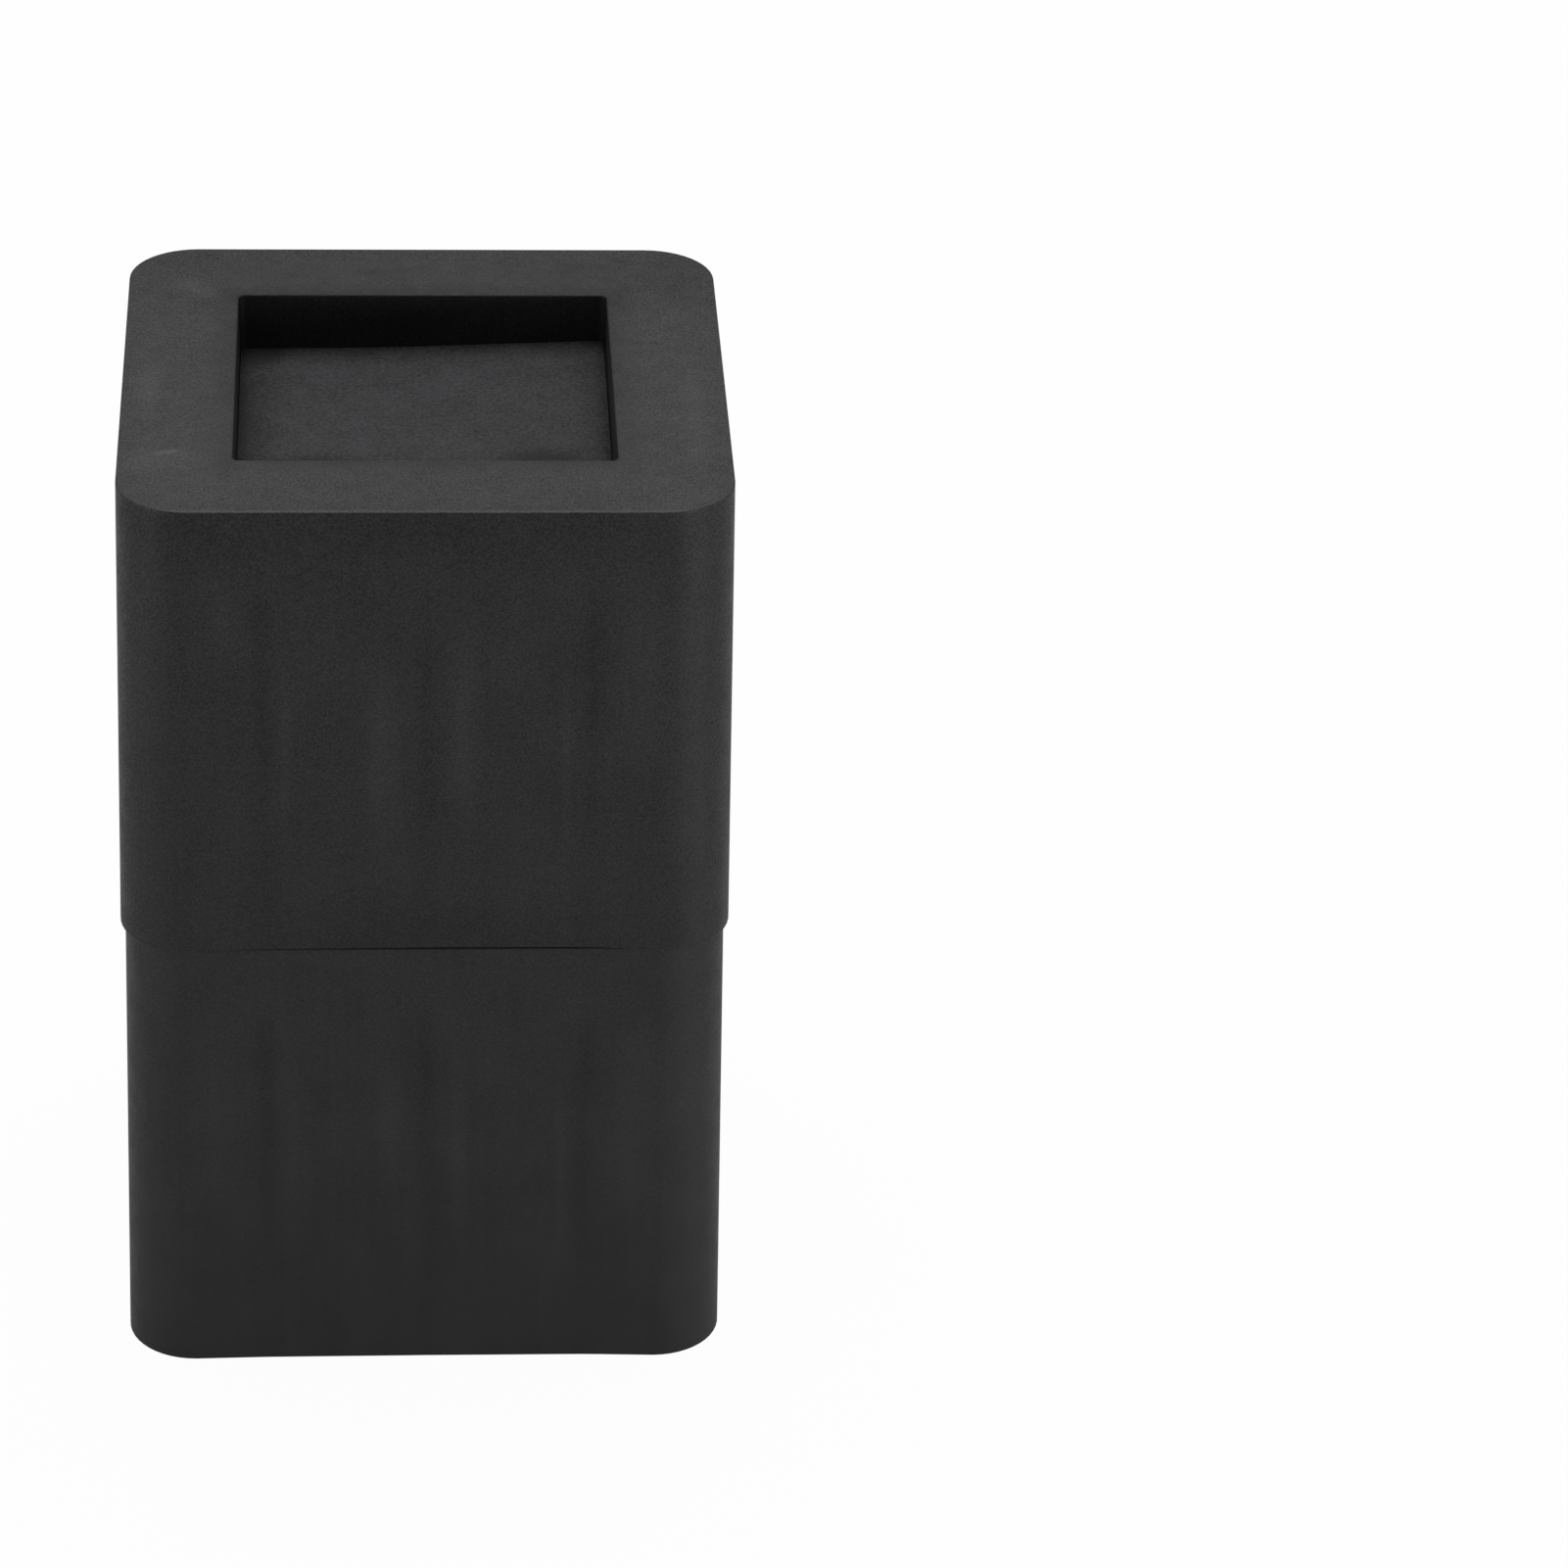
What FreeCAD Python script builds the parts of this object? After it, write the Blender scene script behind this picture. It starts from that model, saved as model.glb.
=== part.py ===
"""A stack of two square furniture risers, each with a foam pad in its leg recess.

Both risers come out of one mould: an open-bottomed block of black plastic with
rounded upright corners, a flat rim, and a square recess in the rim for the leg of
the bed. Under the rim, ribs join the skirt to the tub that holds the leg: three from
front to back and one across, which end just above the foot. The upper riser stands
on the rim of the lower one, edge on face. The outside leans in by the draft that lets
the part leave its mould, so the foot of the upper riser is a little proud of the rim
under it. Each foot arches very slightly between its corners, which are what it stands
on, and that leaves the thin dark line between the two risers. The pads lie loose in their
recesses, and one corner of the upper one has curled up.

Millimetres, +Z up. The origin is on the floor, under the middle of the stack.
"""

import FreeCAD
import Part

import math
import os

# Outside of one riser
BASE_WIDTH = 127.0  # across the skirt at the floor
RISER_HEIGHT = 101.6
CORNER_RADIUS = 14.5  # upright corners of the skirt
DRAFT_DEG = 0.56  # lean of the outside faces
RIM_EDGE_BREAK = 0.6  # outer edge of the rim
FOOT_ARCH = 0.4  # rise of the foot halfway between two corners

# Walls
SKIRT_WALL = 3.0  # at the floor
RIM_THICKNESS = 3.2
TUB_WALL = 3.0  # side walls and floor of the tub under the recess

# Leg recess
RECESS_WIDTH = 78.3  # at the rim
RECESS_DEPTH = 14.8
RECESS_DRAFT_DEG = 1.0
RECESS_CORNER_RADIUS = 1.5

# Ribs inside the skirt
RIB_OFFSET = 33.5  # from the middle front-to-back rib to the one on each side of it
RIB_FOOT_THICKNESS = 1.8
RIB_FOOT_LIFT = 1.0  # from the foot of the skirt up to the feet of the ribs
CORE_DRAFT_DEG = 0.25  # lean of each rib face, and of the skirt's inside past its outside
POCKET_CORNER_RADIUS = 1.2  # upright inside corners between ribs and skirt

# Foam pads on the floors of the recesses
PAD_THICKNESS = 2.8
PAD_GAP = 0.15  # from the pad's edge to the foot of the recess wall
PAD_CORNER_RADIUS = 1.0

# Corner of the upper pad that curls up off the floor, at the back on the right
CURL_START = 12.0  # along the diagonal, from the middle of the pad to where the curl starts
CURL_RADIUS = 150.0  # of the pad's underside where it bends
CURL_DEG = 2.8  # slope of the corner past the bend

# The stack, from the floor up
TIERS = ("lower", "upper")

# How closely an edge has to lie at a height, and how far an upright one may lean
LEVEL_TOLERANCE = 1e-4
MOST_LEAN_DEG = 10.0

# Turns about the upright axis
QUARTER_TURN_DEG = 90.0
HALF_QUARTER_DEG = 45.0


def lean(height, degrees):
    """How far sideways a face that leans by some degrees moves over a height."""
    return height * math.tan(math.radians(degrees))


RIM_WIDTH = BASE_WIDTH - 2 * lean(RISER_HEIGHT, DRAFT_DEG)
RECESS_FLOOR_Z = RISER_HEIGHT - RECESS_DEPTH
RECESS_FLOOR_WIDTH = RECESS_WIDTH - 2 * lean(RECESS_DEPTH, RECESS_DRAFT_DEG)
PAD_WIDTH = RECESS_FLOOR_WIDTH - 2 * PAD_GAP
RIB_LINES = (-RIB_OFFSET, 0.0, RIB_OFFSET)


def tapered_block(foot, head, foot_z, head_z):
    """A block with flat faces between two level rectangles (x_min, x_max, y_min, y_max)."""

    def corners(rectangle, z):
        x_min, x_max, y_min, y_max = rectangle
        around = ((x_min, y_min), (x_max, y_min), (x_max, y_max), (x_min, y_max))
        return [FreeCAD.Vector(x, y, z) for x, y in around]

    low = corners(foot, foot_z)
    high = corners(head, head_z)
    outlines = [low[::-1], high]
    for here in range(len(low)):
        after = (here + 1) % len(low)
        outlines.append([low[here], low[after], high[after], high[here]])
    shell = Part.Shell([Part.Face(Part.makePolygon(outline + outline[:1])) for outline in outlines])
    shell.sewShape()
    return Part.Solid(shell)


def square_block(foot_width, head_width, foot_z, head_z, corner_radius):
    """A tapered block on the Z axis, square in plan, with its upright corners rounded."""
    foot = foot_width / 2
    head = head_width / 2
    block = tapered_block((-foot, foot, -foot, foot), (-head, head, -head, head), foot_z, head_z)
    return block.makeFillet(corner_radius, upright_edges(block))


def upright_edges(shape):
    """The straight edges of a shape that stand, apart from the draft."""
    found = []
    for edge in shape.Edges:
        if not isinstance(edge.Curve, Part.Line):
            continue
        run = edge.Vertexes[-1].Point - edge.Vertexes[0].Point
        if abs(run.z) > run.Length * math.cos(math.radians(MOST_LEAN_DEG)):
            found.append(edge)
    return found


def edges_between_flats(shape):
    """The upright edges where two flat walls meet, and so not those beside a rounding."""
    found = []
    for edge in upright_edges(shape):
        walls = shape.ancestorsOfType(edge, Part.Face)
        if all(isinstance(wall.Surface, Part.Plane) for wall in walls):
            found.append(edge)
    return found


def is_level(edge, z):
    """Whether an edge lies level at a height."""
    box = edge.BoundBox
    return max(abs(box.ZMin - z), abs(box.ZMax - z)) < LEVEL_TOLERANCE


def outside():
    """The outer form of a riser, solid: leaning sides, rounded corners and an eased rim."""
    block = square_block(BASE_WIDTH, RIM_WIDTH, 0, RISER_HEIGHT, CORNER_RADIUS)
    rim_edge = [edge for edge in block.Edges if is_level(edge, RISER_HEIGHT)]
    return block.makeChamfer(RIM_EDGE_BREAK, rim_edge)


def foot_arches():
    """The two shallow vaults that lift the foot clear of the floor between its corners."""
    half_span = BASE_WIDTH / 2 - CORNER_RADIUS
    reach = BASE_WIDTH / 2
    start = FreeCAD.Vector(-half_span, -reach, 0)
    crown = FreeCAD.Vector(0, -reach, FOOT_ARCH)
    end = FreeCAD.Vector(half_span, -reach, 0)
    under = FreeCAD.Vector(0, 0, -FOOT_ARCH)
    outline = [
        Part.Arc(start, crown, end).toShape(),
        Part.makeLine(end, end + under),
        Part.makeLine(end + under, start + under),
        Part.makeLine(start + under, start),
    ]
    along_y = Part.Face(Part.Wire(outline)).extrude(FreeCAD.Vector(0, BASE_WIDTH, 0))
    along_x = along_y.rotated(FreeCAD.Vector(), FreeCAD.Vector(0, 0, 1), QUARTER_TURN_DEG)
    return [along_y, along_x]


def recess():
    """The space for the leg of the bed, from the floor of the tub to the rim."""
    return square_block(
        RECESS_FLOOR_WIDTH, RECESS_WIDTH, RECESS_FLOOR_Z, RISER_HEIGHT, RECESS_CORNER_RADIUS
    )


def tub():
    """The outside of the tub that hangs from the rim: the recess, grown by its wall."""
    foot_z = RECESS_FLOOR_Z - TUB_WALL
    foot_width = RECESS_FLOOR_WIDTH + 2 * TUB_WALL - 2 * lean(TUB_WALL, RECESS_DRAFT_DEG)
    rim_width = RECESS_WIDTH + 2 * TUB_WALL
    return square_block(
        foot_width, rim_width, foot_z, RISER_HEIGHT, RECESS_CORNER_RADIUS + TUB_WALL
    )


def ribs():
    """Three ribs from front to back and one across, as walls that thicken towards the rim."""
    reach = BASE_WIDTH / 2
    span = (-reach, reach)
    at_foot = RIB_FOOT_THICKNESS / 2
    at_rim = at_foot + lean(RISER_HEIGHT, CORE_DRAFT_DEG)
    across = tapered_block(span + (-at_foot, at_foot), span + (-at_rim, at_rim), 0, RISER_HEIGHT)
    walls = [across]
    for line in RIB_LINES:
        foot = (line - at_foot, line + at_foot)
        head = (line - at_rim, line + at_rim)
        walls.append(tapered_block(foot + span, head + span, 0, RISER_HEIGHT))
    return walls


def pockets():
    """The hollows between skirt, ribs, tub and rim, which are open at the foot."""
    roof_z = RISER_HEIGHT - RIM_THICKNESS
    foot_width = BASE_WIDTH - 2 * SKIRT_WALL
    roof_width = foot_width - 2 * lean(roof_z, DRAFT_DEG + CORE_DRAFT_DEG)
    hollow = square_block(foot_width, roof_width, 0, roof_z, CORNER_RADIUS - SKIRT_WALL)
    cores = []
    for cell in hollow.cut(ribs()).Solids:
        core = cell.makeFillet(POCKET_CORNER_RADIUS, edges_between_flats(cell))
        cores.append(core.cut(tub()))
    corner = FreeCAD.Vector(-BASE_WIDTH / 2, -BASE_WIDTH / 2, 0)
    slab = Part.makeBox(BASE_WIDTH, BASE_WIDTH, RIB_FOOT_LIFT, corner)
    under_ribs = hollow.common(slab)
    return cores + [under_ribs]


def riser():
    """One moulded riser, standing on the floor."""
    return outside().cut(pockets() + foot_arches()).cut(recess())


def flat_pad():
    """The pad that lies on the floor of the recess and grips the foot of the leg."""
    top = RECESS_FLOOR_Z + PAD_THICKNESS
    return square_block(PAD_WIDTH, PAD_WIDTH, RECESS_FLOOR_Z, top, PAD_CORNER_RADIUS)


def curled_sheet():
    """A sheet of foam on the floor of the recess, wider than the pad, that bends up once."""
    reach = PAD_WIDTH
    angle = math.radians(CURL_DEG)
    tail = FreeCAD.Vector(math.cos(angle), 0, math.sin(angle)) * reach

    def on_bend(radius, turn):
        along = CURL_START + radius * math.sin(turn)
        up = RECESS_FLOOR_Z + CURL_RADIUS - radius * math.cos(turn)
        return FreeCAD.Vector(along, -reach, up)

    runs = []
    ends = []
    for radius in (CURL_RADIUS, CURL_RADIUS - PAD_THICKNESS):
        start, middle, end = (on_bend(radius, turn) for turn in (0, angle / 2, angle))
        flat_end = start - FreeCAD.Vector(reach, 0, 0)
        bend = Part.Arc(start, middle, end).toShape()
        runs.append([Part.makeLine(flat_end, start), bend, Part.makeLine(end, end + tail)])
        ends.append((flat_end, end + tail))
    under, over = runs
    flat_join, tail_join = (Part.makeLine(low, high) for low, high in zip(*ends))
    side = Part.Face(Part.Wire(under + [tail_join] + over[::-1] + [flat_join]))
    sheet = side.extrude(FreeCAD.Vector(0, 2 * reach, 0))
    return sheet.rotated(FreeCAD.Vector(), FreeCAD.Vector(0, 0, 1), HALF_QUARTER_DEG)


def curled_pad():
    """The same pad with one corner lifted off the floor: the sheet, cut to the pad's outline."""
    foot_z = RECESS_FLOOR_Z - PAD_THICKNESS
    outline = square_block(PAD_WIDTH, PAD_WIDTH, foot_z, RISER_HEIGHT, PAD_CORNER_RADIUS)
    return outline.common(curled_sheet())


def main():
    os.makedirs("parts", exist_ok=True)
    moulding = riser()
    pads = (flat_pad(), curled_pad())
    for tier, name in enumerate(TIERS):
        lift = FreeCAD.Vector(0, 0, tier * RISER_HEIGHT)
        for piece, shape in (("riser", moulding), ("foam_pad", pads[tier])):
            placed = shape.translated(lift)
            placed.exportStep(f"parts/{name}_{piece}.step")
            print(f"{name}_{piece}: {len(placed.Solids)} solid, valid {placed.isValid()}, "
                  f"{placed.Volume / 1000:.2f} cm3, {len(placed.Faces)} faces")
    print(f"rim {RIM_WIDTH:.2f} wide, recess floor {RECESS_FLOOR_WIDTH:.2f}, pad {PAD_WIDTH:.2f}")
    print(f"curled pad {pads[-1].BoundBox.ZMax - RECESS_FLOOR_Z:.2f} tall")


main()
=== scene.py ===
"""Bed riser: a stack of two black moulded risers, each with a foam pad in its leg recess.

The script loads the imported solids, makes a finer skin for each riser and an uneven sheet of
foam for each pad, gives them their finishes, and sets up the studio and the camera. Sizes are
in millimetres in the classes, and meshes are in metres with +Z up, in the solids' own frame.
"""

import enum
import logging
import math
from dataclasses import dataclass, field

import bmesh
import bpy
from mathutils import Matrix, Vector, noise


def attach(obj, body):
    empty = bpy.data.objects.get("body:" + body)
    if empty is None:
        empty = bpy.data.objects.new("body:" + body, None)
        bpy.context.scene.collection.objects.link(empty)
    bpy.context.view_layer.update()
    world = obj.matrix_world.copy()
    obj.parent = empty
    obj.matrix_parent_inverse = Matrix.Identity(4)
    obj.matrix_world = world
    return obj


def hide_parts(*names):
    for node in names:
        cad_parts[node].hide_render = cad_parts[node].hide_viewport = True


LOG = logging.getLogger("bed_riser")

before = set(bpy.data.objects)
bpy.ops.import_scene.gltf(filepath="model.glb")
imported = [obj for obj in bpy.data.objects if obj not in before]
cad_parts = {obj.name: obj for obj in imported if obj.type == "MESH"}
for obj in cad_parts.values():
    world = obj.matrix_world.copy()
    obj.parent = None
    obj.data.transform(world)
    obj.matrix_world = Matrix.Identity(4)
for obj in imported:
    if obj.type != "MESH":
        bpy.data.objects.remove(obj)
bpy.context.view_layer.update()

BMesh = bmesh.types.BMesh
Ring = list[bmesh.types.BMEdge]
Node = bpy.types.Node
NodeTree = bpy.types.NodeTree
Source = bpy.types.Node | bpy.types.NodeSocket  # where a node's input comes from

MM = 0.001  # metres in a millimetre
MERGE_DISTANCE = 1e-6  # metres
BODY = "root"


class Tier(enum.Enum):
    """One of the two risers in the stack, by its place from the floor up."""

    LOWER = 0
    UPPER = 1

    @property
    def prefix(self) -> str:
        """The start of this tier's node names."""
        return self.name.lower()


class Axis(enum.Enum):
    """A direction that a row of cuts runs along."""

    X = 0
    Y = 1
    Z = 2

    def vector(self, length: float = 1.0) -> Vector:
        """A vector of some length along this axis."""
        along = Vector((0.0, 0.0, 0.0))
        along[self.value] = length
        return along


def lean(height: float, degrees: float) -> float:
    """How far sideways a face that leans by some degrees moves over a height."""
    return height * math.tan(math.radians(degrees))


def smooth(value: float, start: float, end: float) -> float:
    """A smooth ramp from 0 to 1 between two values, level outside them.

    Args:
        value: Where the ramp is read.
        start: Where it leaves 0.
        end: Where it reaches 1.

    Returns:
        The height of the ramp.
    """
    share = min(max((value - start) / (end - start), 0.0), 1.0)
    return share * share * (3 - 2 * share)


def linear(colour: str) -> tuple[float, float, float, float]:
    """Turns an sRGB hex colour into the linear values that shaders take.

    Args:
        colour: Six hex digits after a hash.

    Returns:
        Red, green and blue, linear, and an alpha of 1.
    """
    parts = [int(colour[place:place + 2], 16) / 255 for place in (1, 3, 5)]
    values = [part / 12.92 if part <= 0.04045 else ((part + 0.055) / 1.055) ** 2.4 for part in parts]
    return (values[0], values[1], values[2], 1.0)


@dataclass(frozen=True)
class RiserSizes:
    """Sizes of one riser in millimetres, the same as the solid's."""

    base_width: float = 127.0
    height: float = 101.6
    corner_radius: float = 14.5
    draft_deg: float = 0.56
    foot_arch: float = 0.4
    recess_width: float = 78.3
    recess_depth: float = 14.8
    recess_draft_deg: float = 1.0
    recess_corner_radius: float = 1.5
    rib_offset: float = 33.5

    @property
    def rim_width(self) -> float:
        """Width over the flat sides at the rim."""
        return self.base_width - 2 * lean(self.height, self.draft_deg)

    @property
    def recess_floor(self) -> float:
        """Height of the recess floor over the riser's foot."""
        return self.height - self.recess_depth

    @property
    def recess_floor_width(self) -> float:
        """Width of the recess at its floor."""
        return self.recess_width - 2 * lean(self.recess_depth, self.recess_draft_deg)


def add_node(tree: NodeTree, kind: str, inputs: dict | None = None, **settings) -> Node:
    """Adds a node with its settings, and gives its inputs values or links.

    Args:
        tree: The node tree that gets the node.
        kind: The node's type, such as "ShaderNodeMath".
        inputs: Values or sources for the node's inputs, by their name or number. A node that
            is given as a source stands for its first output.
        **settings: The node's own properties.

    Returns:
        The new node.
    """
    made = tree.nodes.new(kind)
    for name, value in settings.items():
        setattr(made, name, value)
    for name, value in (inputs or {}).items():
        if isinstance(value, Source):
            tree.links.new(value.outputs[0] if isinstance(value, Node) else value, made.inputs[name])
        else:
            made.inputs[name].default_value = value
    return made


def new_tree(block: bpy.types.Material | bpy.types.World) -> NodeTree:
    """Gives a material or a world an empty node tree.

    Args:
        block: The material or the world.

    Returns:
        Its node tree.
    """
    block.use_nodes = True
    block.node_tree.nodes.clear()
    return block.node_tree


def noise_levels(
    tree: NodeTree, place: Source, pitch: float, levels: tuple[float, float],
    spread: float = 0.2, detail: float = 0.0, roughness: float = 0.5,
) -> Node:
    """Makes a soft random pattern that runs between two levels.

    Args:
        tree: The node tree.
        place: Where the pattern is read.
        pitch: The size of its largest lumps, in millimetres.
        levels: The two levels.
        spread: How far either side of its middle value the noise is taken to reach.
        detail: How many finer layers are added.
        roughness: How strong those are.

    Returns:
        The level.
    """
    lumps = add_node(
        tree, "ShaderNodeTexNoise",
        {"Vector": place, "Scale": 1 / (pitch * MM), "Detail": detail, "Roughness": roughness},
    )
    return add_node(
        tree, "ShaderNodeMapRange",
        {"Value": lumps, "From Min": 0.5 - spread, "From Max": 0.5 + spread,
         "To Min": levels[0], "To Max": levels[1]},
    )


def new_piece(name: str, mesh_source: BMesh, sharp_deg: float) -> bpy.types.Object:
    """Makes an object from a bmesh, shaded smooth apart from its sharp edges, and frees the bmesh.

    Args:
        name: The piece's name.
        mesh_source: The finished bmesh.
        sharp_deg: The least angle between faces at which an edge stays sharp.

    Returns:
        The new object, in the scene.
    """
    mesh = bpy.data.meshes.new(name)
    for face in mesh_source.faces:
        face.smooth = True
    mesh_source.to_mesh(mesh)
    mesh_source.free()
    mesh.set_sharp_from_angle(angle=math.radians(sharp_deg))
    piece = bpy.data.objects.new(name, mesh)
    bpy.context.scene.collection.objects.link(piece)
    return piece


@dataclass(frozen=True)
class Mark:
    """A soft oval patch of a paler or darker tone. Sizes are in millimetres."""

    middle: tuple[float, float, float]  # from the middle of the riser's foot
    half: tuple[float, float, float]  # half its sizes
    gain: float  # share of the base tone that it adds in its middle
    turn_deg: float = 0.0  # about the upright

    def add(self, tree: NodeTree, place: Source) -> Node:
        """Makes what the patch adds to the tone.

        Args:
            tree: The material's node tree.
            place: Coordinates from the middle of the riser's foot.

        Returns:
            The change of tone.
        """
        oval = add_node(
            tree, "ShaderNodeMapping",
            {"Vector": place, "Location": Vector(self.middle) * MM,
             "Rotation": (0, 0, math.radians(self.turn_deg)), "Scale": Vector(self.half) * MM},
            vector_type="TEXTURE",
        )
        away = add_node(tree, "ShaderNodeVectorMath", {0: oval}, operation="LENGTH").outputs["Value"]
        return add_node(
            tree, "ShaderNodeMapRange",
            {"Value": away, "From Min": 0.0, "From Max": 1.0, "To Min": self.gain, "To Max": 0.0},
            interpolation_type="SMOOTHSTEP",
        )


BLUSH_DEPTH = 31.75  # half of the size of a patch on the front, from the front towards the back
SCUFF_DEPTH = 1.2  # how far down from the rim a scuff fades out
PAD_SHADE_DEPTH = 10000.0  # so that a patch of painted shade on a pad has the same strength at every height


def blush(across: float, up: float, half_width: float, half_height: float, gain: float) -> Mark:
    """A paler or darker patch on a riser's front: mostly blush where the melt met a change of wall, and near
    the corners also a painted highlight.
    """
    return Mark((across, -RiserSizes.base_width / 2, up), (half_width, BLUSH_DEPTH, half_height), gain)


def scuff(x: float, y: float, half_x: float, half_y: float, gain: float, turn_deg: float = 0.0) -> Mark:
    """A paler or darker patch on the rim, some of them scuffs where it has been handled."""
    return Mark((x, y, RiserSizes.height), (half_x, half_y, SCUFF_DEPTH), gain, turn_deg)


def pad_shade(x: float, y: float, half_x: float, half_y: float, gain: float, turn_deg: float = 0.0) -> Mark:
    """A patch of painted shade on a pad."""
    return Mark((x, y, 0.0), (half_x, half_y, PAD_SHADE_DEPTH), gain, turn_deg)


# Places and half sizes are in millimetres, and then come the gain and the turn in degrees.
PLASTIC_MARKS = {
    Tier.UPPER: (
        blush(-8.9, 47.0, 5.5, 34.0, 0.33),
        blush(7.6, 54.0, 5.0, 38.0, 0.39),
        blush(-28.6, 50.0, 2.0, 30.0, 0.27),
        blush(28.7, 46.0, 1.7, 26.0, 0.23),
        blush(-41.0, 78.0, 7.0, 18.0, 0.2),
        # paler near the right corner: blush and a painted highlight
        blush(44.0, 68.0, 8.5, 34.0, 0.27),
        # these two make the front darker along the top and along the foot
        blush(0.0, 101.0, 95.0, 18.0, -0.28),
        blush(0.0, 0.0, 95.0, 20.0, -0.2),
        scuff(-52.6, -35.4, 5.2, 1.5, 1.6, 17.0),  # a light scratch
        scuff(-52.0, -39.0, 13.0, 12.0, 0.5),
        scuff(-57.2, -40.0, 4.0, 14.0, 0.25),
        scuff(-56.8, -4.0, 4.2, 22.0, 0.7),
        scuff(-48.5, 42.5, 9.0, 5.0, 0.8, -45.0),
        # darker at the rim's back left corner
        scuff(-50.0, 56.0, 15.0, 12.0, -0.45),
        scuff(55.2, -20.0, 4.6, 36.0, 0.5),
        scuff(50.0, -54.0, 16.0, 12.0, 0.35),
        scuff(-48.0, -54.0, 16.0, 12.0, 0.4),
        # darker at the rim's back right corner
        scuff(54.0, 50.0, 16.0, 22.0, -0.5),
    ),
    Tier.LOWER: (
        blush(-7.6, 58.0, 4.0, 30.0, 0.23),
        blush(6.8, 56.0, 3.8, 32.0, 0.23),
        blush(28.5, 44.0, 1.8, 30.0, 0.15),
        # paler near the right corner: blush and a painted highlight
        blush(44.0, 62.0, 8.0, 34.0, 0.27),
        blush(-28.0, 60.0, 3.0, 28.0, 0.19),
        # paler near the left corner: blush and a painted highlight
        blush(-44.0, 62.0, 9.0, 34.0, 0.17),
    ),
}
PAD_PAINTED_SHADE = {
    Tier.UPPER: (
        # painted shade in the back left corner of the recess
        pad_shade(-35.0, 35.0, 13.0, 10.0, -0.8),
        # painted shade towards the front of the pad
        pad_shade(0.0, -18.0, 60.0, 12.0, -0.3),
        pad_shade(24.0, -15.0, 13.0, 8.0, -1.1, 8.0),  # painted shade standing in for a shallow crease
        # painted shade towards the front of the pad
        pad_shade(-22.0, -17.0, 15.0, 7.0, -0.7),
    ),
    Tier.LOWER: (),
}
COARSENESS = {Tier.LOWER: (0.1, 0.55), Tier.UPPER: (0.6, 1.0)}  # of the grain, at foot and rim
SKEW = (0.6, 0.45, 0.3)  # turn of the fine patterns, so that no face lies along their grid


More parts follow.
